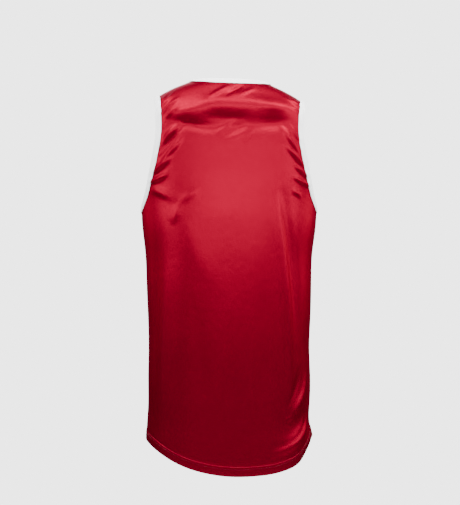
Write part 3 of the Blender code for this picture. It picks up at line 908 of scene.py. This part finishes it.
def knit_finish(look):
    """Shiny warp knit: fine upright ribs crossed by courses, with a broad satin gloss."""
    knit = Finish("red_knit")
    across, along = knit.cloth_place()
    rib, course = across.waves(look.rib_pitch), along.waves(look.course_pitch)
    loops = (rib * 0.6 + course * 0.4) * 0.5 + 0.5
    drift = knit.cloud(size=0.05)
    fine = knit.cloud(size=0.004, detail=3.0, roughness=0.6)
    crumple = knit.cloud(size=0.011, detail=4.0, roughness=0.62)
    shade = (drift * 0.6 + fine * 0.4).least(1.0).most(0.0)
    relief = loops * 0.5 + fine * 4.0 + crumple * 12.0
    knit.set(
        Base_Color=knit.mix(shade, darker(look.knit_colour, 0.86), look.knit_colour),
        Roughness=0.37 + fine * 0.10 + (1 - loops) * 0.04,
        Normal=knit.bump(relief, distance=0.00006, strength=0.52),
        Metallic=0.88,
        Specular_IOR_Level=0.0,
        Specular_Tint=(0.8, 0.44, 0.50, 1),
    )
    return knit.material


def binding_finish(look):
    """White knitted binding: fine ribs across its run, matt, with a little painted shade in its rib
    hollows.
    """
    rib = Finish("white_rib")
    _, along = rib.cloth_place()
    loops = along.waves(look.binding_rib_pitch) * 0.5 + 0.5
    fine = rib.cloud(size=0.003, detail=3.0, roughness=0.6)
    # Darker where the ribs dip: painted shade in the rib hollows, mixed with a random tone from the fine
    # noise.
    shade = (loops * 0.5 + fine * 0.5).least(1.0)
    rib.set(
        Base_Color=rib.mix(shade, darker(look.binding_colour, 0.88), look.binding_colour),
        Roughness=0.62 + fine * 0.16,
        Normal=rib.bump(loops + fine * 0.5, distance=0.00015, strength=0.5),
        Sheen_Weight=0.2,
        Sheen_Roughness=0.5,
    )
    return rib.material


def thread_finish(name, colour):
    """Twisted sewing thread."""
    thread = Finish(name)
    fine = thread.cloud(size=0.0012, roughness=0.6)
    thread.set(
        Base_Color=thread.mix(fine, darker(colour, 0.7), colour),
        Roughness=0.5 + fine * 0.2,
        Normal=thread.bump(fine, distance=0.0001, strength=0.6),
    )
    return thread.material


# ---- Bindings ----
def binding_profile(wall, panel_wall):
    """The folded strip's section: shares of its width inwards, and lifts, outside first."""
    leg = (panel_wall + wall) / 2 + BINDING_EASE
    outer = leg + BINDING_PUFF * np.sin(math.pi * (1 - BINDING_COLUMNS) ** 0.8)
    turns = np.linspace(math.pi / 2, -math.pi / 2, BINDING_TURNS)[1:-1]
    nose_in = -(BINDING_NOSE / BINDING_WIDTH) * np.cos(turns)
    nose_lift = outer[-1] * np.sin(turns)
    places = np.concatenate((BINDING_COLUMNS, nose_in, BINDING_COLUMNS[::-1]))
    return places, np.concatenate((outer, nose_lift, -outer[::-1]))


def folded_strip(face, pair, sizes, run_from):
    """A row of points across the fold at each station, its flat map, and the run's end."""
    rail, edge = (drape(face, *path) for path in pair)
    places, lifts = binding_profile(sizes.binding_wall, sizes.panel_wall)
    span = edge.points - rail.points
    run = run_from + run_along(edge.points)
    wave = RIPPLE * np.sin(run / RIPPLE_RUN) * np.sin(run / RIPPLE_DRIFT + 1.0)
    share = (1 - places)[None, :, None]
    normal = unit(rail.normals[:, None] * (1 - share) + edge.normals[:, None] * share)
    lift = lifts[None, :] + wave[:, None] * np.clip(places, 0, 1)[None, :]
    points = rail.points[:, None] + span[:, None] * share + normal * lift[..., None]
    round_run = np.cumsum(np.abs(np.diff(places, prepend=places[0]))) * BINDING_WIDTH
    uv = np.stack(np.broadcast_arrays(round_run[None, :], run[:, None]), axis=2)
    return points, uv, run[-1]


def build_binding(place, node, sizes, finish):
    """A strip folded over the same edge of both panels, joined where they meet."""
    run, grids = 0.0, []
    for face, order in ((BACK, 1), (FRONT, -1)):
        pair = [tuple(v[::order] for v in path) for path in panel_edges(face)[place]]
        points, uv, run = folded_strip(face, pair, sizes, run)
        grids.append((points, uv))
    (back, back_uv), (front, front_uv) = grids
    back[-1] = (back[-1] + front[0]) / 2
    back[0] = (back[0] + front[-1]) / 2
    points = np.concatenate((back, front[1:-1]))
    uv = np.concatenate((back_uv, front_uv[1:-1]))
    strip = Strip(points, uv, closed=True)
    piece = cloth_piece(f"{node}_cloth", [strip], sizes.binding_wall, finish)
    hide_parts(node)
    return piece, run


# ---- Stitches ----
def stitches(name, lines, sizes, finish):
    """Short stitches laid end to end along lines of points with normals."""
    points, faces = [], []
    stations = len(STITCH_GIRTHS)
    radius, rise = (sizes.stitch_radius * shares for shares in (STITCH_GIRTHS, STITCH_RISES))
    for line, normals in lines:
        along = run_along(line)
        for k in range(int(along[-1] / sizes.stitch_pitch)):
            start, end = (sizes.stitch_pitch * (k + share) for share in STITCH_SPAN)
            places = np.linspace(start, end, stations)
            axis, up = (
                np.stack([np.interp(places, along, part) for part in values.T], axis=1)
                for values in (line, normals)
            )
            up = unit(up)
            side = unit(np.cross(unit(axis[-1:] - axis[:1]), up))
            base = len(points)
            for turn in range(STITCH_SIDES):
                angle = 2 * math.pi * turn / STITCH_SIDES
                out = (radius * math.cos(angle))[:, None]
                lift = (rise + radius * STITCH_FLATNESS * math.sin(angle))[:, None]
                points.extend((axis + side * out + up * lift).tolist())
            corners = base + stations * np.arange(STITCH_SIDES)
            for here, there in zip(corners.tolist(), np.roll(corners, -1).tolist()):
                for i in range(stations - 1):
                    faces.append((here + i, here + i + 1, there + i + 1, there + i))
            faces.append(corners.tolist())
            faces.append((corners[::-1] + stations - 1).tolist())
    return new_piece(name, points, faces, finish)


def hem_lines(face, sizes, sign):
    """The two rows of stitches that hold the hem, outside where sign is 1, inside where -1."""
    f = np.linspace(-HEM_STITCH_REACH, HEM_STITCH_REACH, HEM_STITCH_POINTS)
    lines = []
    for drop in HEM_STITCH_DROPS:
        rise = HEM_DEPTH - drop
        outside = sizes.panel_wall / 2 + hem_lift(rise / HEM_DEPTH)
        lift = outside if sign > 0 else -(1.5 * sizes.panel_wall + HEM_GAP)
        line = drape(face, f, hem_z(face, f) + rise, lift)
        lines.append((line.points, line.normals * sign))
    return lines


def binding_lines(place, sizes):
    """A row of stitches near the binding's inner hem, outside and inside."""
    lines = []
    for face in FACES:
        rail, edge = (drape(face, *path) for path in panel_edges(face)[place])
        middle = rail.points + (edge.points - rail.points) * BINDING_STITCH_SHARE
        lift = sizes.panel_wall / 2 + sizes.binding_wall + BINDING_STITCH_LIFT
        for sign in (1, -1):
            lines.append((middle + rail.normals * lift * sign, rail.normals * sign))
    return lines


# ---- Studio ----
SENSOR_WIDTH = 36  # millimetres
FLOOR_SIDES, FLOOR_RADIUS, FLOOR_Z, FLOOR_GREY = 96, 2.6, -1.45, 0.78
WORLD_LIGHT = 0.04  # what the backdrop lights the garment with
Lamp = namedtuple("Lamp", "name x y z width height power")
LIGHTS_AIM = Vector((0.0, 0.0, -0.3))
LAMPS = table(
    Lamp,
    ("back_wide", -0.12, 1.8, 0.40, 3.8, 0.5, 63.0),
    ("back_low", 0.0, 2.0, 0.05, 3.4, 0.4, 19.0),
    ("back_steep", -0.1, 1.0, 0.7, 1.4, 0.5, 8.0),
    ("top", 0.0, 0.3, 0.75, 1.5, 0.4, 23.0),
    ("over_left", 0.7, 0.0, 0.7, 0.6, 0.5, 10.0),
    ("over_right", -0.7, 0.0, 0.7, 0.6, 0.5, 15.0),
    ("side_left", 1.6, 0.45, 0.28, 0.9, 1.0, 27.0),
    ("side_right", -1.6, 0.55, 0.25, 0.9, 0.9, 25.0),
    ("rim_left", 1.6, -0.9, 0.1, 0.9, 0.9, 10.0),
    ("rim_right", -1.6, -0.7, 0.1, 0.9, 0.9, 18.0),
    ("front_high", 0.3, -2.6, 0.9, 1.4, 1.4, 34.0),
    ("front_wide", -0.2, -1.9, 0.4, 2.8, 0.6, 34.0),
)


# ---- What a user can change ----
class TankTopSizes(bpy.types.PropertyGroup):
    """Sizes of the cloth and its sewing."""

    panel_wall: FloatProperty(
        name="Panel cloth", description="Thickness of the knit", default=0.8 * MM, unit="LENGTH"
    )
    binding_wall: FloatProperty(
        name="Binding cloth", description="Thickness of the binding", default=0.8 * MM, unit="LENGTH"
    )
    stitch_pitch: FloatProperty(
        name="Stitch pitch", description="From one stitch to the next", default=3.0 * MM, unit="LENGTH"
    )
    stitch_radius: FloatProperty(
        name="Thread radius", description="Half the thread's width", default=0.22 * MM, unit="LENGTH"
    )


class TankTopLook(bpy.types.PropertyGroup):
    """Colours and surface of the cloth."""

    knit_colour: FloatVectorProperty(
        name="Knit", description="Colour of the panels", default=(0.18, 0.0003, 0.0118), subtype="COLOR"
    )
    binding_colour: FloatVectorProperty(
        name="Binding", description="Colour of the bindings", default=(0.88, 0.88, 0.89), subtype="COLOR"
    )
    rib_pitch: FloatProperty(
        name="Rib pitch", description="Millimetres between the knit's ribs", default=0.9
    )
    course_pitch: FloatProperty(
        name="Course pitch", description="Millimetres between its courses", default=0.7
    )
    binding_rib_pitch: FloatProperty(
        name="Binding rib pitch", description="Millimetres between the binding's ribs", default=0.9
    )


class TankTopStudio(bpy.types.PropertyGroup):
    """Camera, lights and stage."""

    camera_distance: FloatProperty(
        name="Camera distance", description="From the garment's middle", default=3.2, unit="LENGTH"
    )
    camera_height: FloatProperty(
        name="Camera height", description="Above the shoulders", default=-0.3103, unit="LENGTH"
    )
    lens: FloatProperty(name="Lens", description="Focal length in millimetres", default=120.0)
    light_power: FloatProperty(name="Lights", description="Times the power of every lamp", default=1.0)
    backdrop: FloatProperty(name="Backdrop", description="Brightness of the backdrop", default=3.62)


# ---- Operators ----
class TANKTOP_OT_panels(bpy.types.Operator):
    """Make the front and the back panel in red knit, turned up at the hem"""

    bl_idname = "tanktop.panels"
    bl_label = "Panels"

    def execute(self, context):
        scene = context.scene
        finish = knit_finish(scene.tanktop_look)
        thread = thread_finish("red_thread", darker(scene.tanktop_look.knit_colour, 0.8))
        sizes = scene.tanktop_sizes
        for face in FACES:
            piece = build_panel(face, sizes, finish)
            lines = hem_lines(face, sizes, 1) + hem_lines(face, sizes, -1)
            sewn = stitches(f"{face.name}_hem_stitches", lines, sizes, thread)
            width = 2 * float(max(half_girth(face, GIRTH_HEIGHTS)))
            length = float(seam_run(face.neck_z) - seam_run(hem_z(face, 0.0))) + HEM_DEPTH
        return {"FINISHED"}


class TANKTOP_OT_bindings(bpy.types.Operator):
    """Fold a white binding over the neck and over each armhole"""

    bl_idname = "tanktop.bindings"
    bl_label = "Bindings"

    def execute(self, context):
        scene = context.scene
        sizes = scene.tanktop_sizes
        finish = binding_finish(scene.tanktop_look)
        thread = thread_finish("white_thread", tuple(scene.tanktop_look.binding_colour))
        for place, node in (
            ("neck", "neck_binding"),
            ("left", "armhole_binding_left"),
            ("right", "armhole_binding_right"),
        ):
            piece, run = build_binding(place, node, sizes, finish)
            sewn = stitches(f"{node}_stitches", binding_lines(place, sizes), sizes, thread)
            cloth_area(piece) / run
        return {"FINISHED"}


class TANKTOP_OT_studio(bpy.types.Operator):
    """Set up the camera, the soft lights, the pale floor and the backdrop"""

    bl_idname = "tanktop.studio"
    bl_label = "Studio"

    def execute(self, context):
        studio = context.scene.tanktop_studio
        self.camera(context, studio)
        for lamp in LAMPS:
            self.light(lamp, studio.light_power)
        self.floor()
        self.backdrop(context, studio)
        return {"FINISHED"}

    def camera(self, context, studio):
        data = bpy.data.cameras.new("camera")
        data.lens = studio.lens
        data.sensor_width = SENSOR_WIDTH
        camera = linked("camera", data)
        camera.location = (0, studio.camera_distance, studio.camera_height)
        camera.rotation_euler = (math.pi / 2, 0, math.pi)
        context.scene.camera = camera

    def light(self, lamp, power):
        data = bpy.data.lights.new(lamp.name, "AREA")
        data.shape = "RECTANGLE"
        data.size, data.size_y = lamp.width, lamp.height
        data.energy = lamp.power * power
        light = linked(lamp.name, data)
        light.location = (lamp.x, lamp.y, lamp.z)
        light.rotation_euler = (LIGHTS_AIM - light.location).to_track_quat("-Z", "Y").to_euler()

    def floor(self):
        turns = [2 * math.pi * k / FLOOR_SIDES for k in range(FLOOR_SIDES)]
        points = [(FLOOR_RADIUS * math.cos(a), FLOOR_RADIUS * math.sin(a), FLOOR_Z) for a in turns]
        data = bpy.data.meshes.new("floor")
        data.from_pydata(points, [], [list(range(FLOOR_SIDES))])
        pale = Finish("pale_floor")
        pale.set(Base_Color=(FLOOR_GREY, FLOOR_GREY, FLOOR_GREY, 1), Roughness=0.8)
        data.materials.append(pale.material)
        linked("floor", data)

    def backdrop(self, context, studio):
        """A pale grey all round, which lights the garment less than it shows."""
        world = bpy.data.worlds.new("backdrop")
        world.use_nodes = True
        context.scene.world = world
        nodes = Nodes(world.node_tree)
        background, output = (nodes.tree.nodes[name] for name in ("Background", "World Output"))
        nodes.plug(background.inputs["Color"], (*[studio.backdrop] * 3, 1))
        seen = Value(nodes, background.outputs[0])
        light = nodes.add("ShaderNodeBackground", inputs={"Color": (*[WORLD_LIGHT] * 3, 1)})
        camera_ray = nodes.add("ShaderNodeLightPath", output="Is Camera Ray")
        mix = nodes.add("ShaderNodeMixShader", inputs={0: camera_ray, 1: light, 2: seen})
        nodes.plug(output.inputs[0], mix)


class TANKTOP_PT_sidebar(bpy.types.Panel):
    """The tank top's sizes, colours and steps"""

    bl_label = "Tank Top"
    bl_idname = "TANKTOP_PT_sidebar"
    bl_space_type = "VIEW_3D"
    bl_region_type = "UI"
    bl_category = "Tank Top"

    def draw(self, context):
        for group in (
            context.scene.tanktop_sizes,
            context.scene.tanktop_look,
            context.scene.tanktop_studio,
        ):
            box = self.layout.box()
            for name in group.__annotations__:
                box.prop(group, name)
        for operator in OPERATORS:
            self.layout.operator(operator.bl_idname)


OPERATORS = (TANKTOP_OT_panels, TANKTOP_OT_bindings, TANKTOP_OT_studio)
GROUPS = {
    "tanktop_sizes": TankTopSizes,
    "tanktop_look": TankTopLook,
    "tanktop_studio": TankTopStudio,
}


def register():
    for name, group in GROUPS.items():
        bpy.utils.register_class(group)
        setattr(bpy.types.Scene, name, PointerProperty(type=group))
    for made in (*OPERATORS, TANKTOP_PT_sidebar):
        bpy.utils.register_class(made)


def unregister():
    for made in reversed((*OPERATORS, TANKTOP_PT_sidebar)):
        bpy.utils.unregister_class(made)
    for name, group in GROUPS.items():
        delattr(bpy.types.Scene, name)
        bpy.utils.unregister_class(group)


def main():
    register()
    bpy.ops.tanktop.panels()
    bpy.ops.tanktop.bindings()
    bpy.ops.tanktop.studio()
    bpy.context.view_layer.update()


if __name__ == "__main__":
    main()
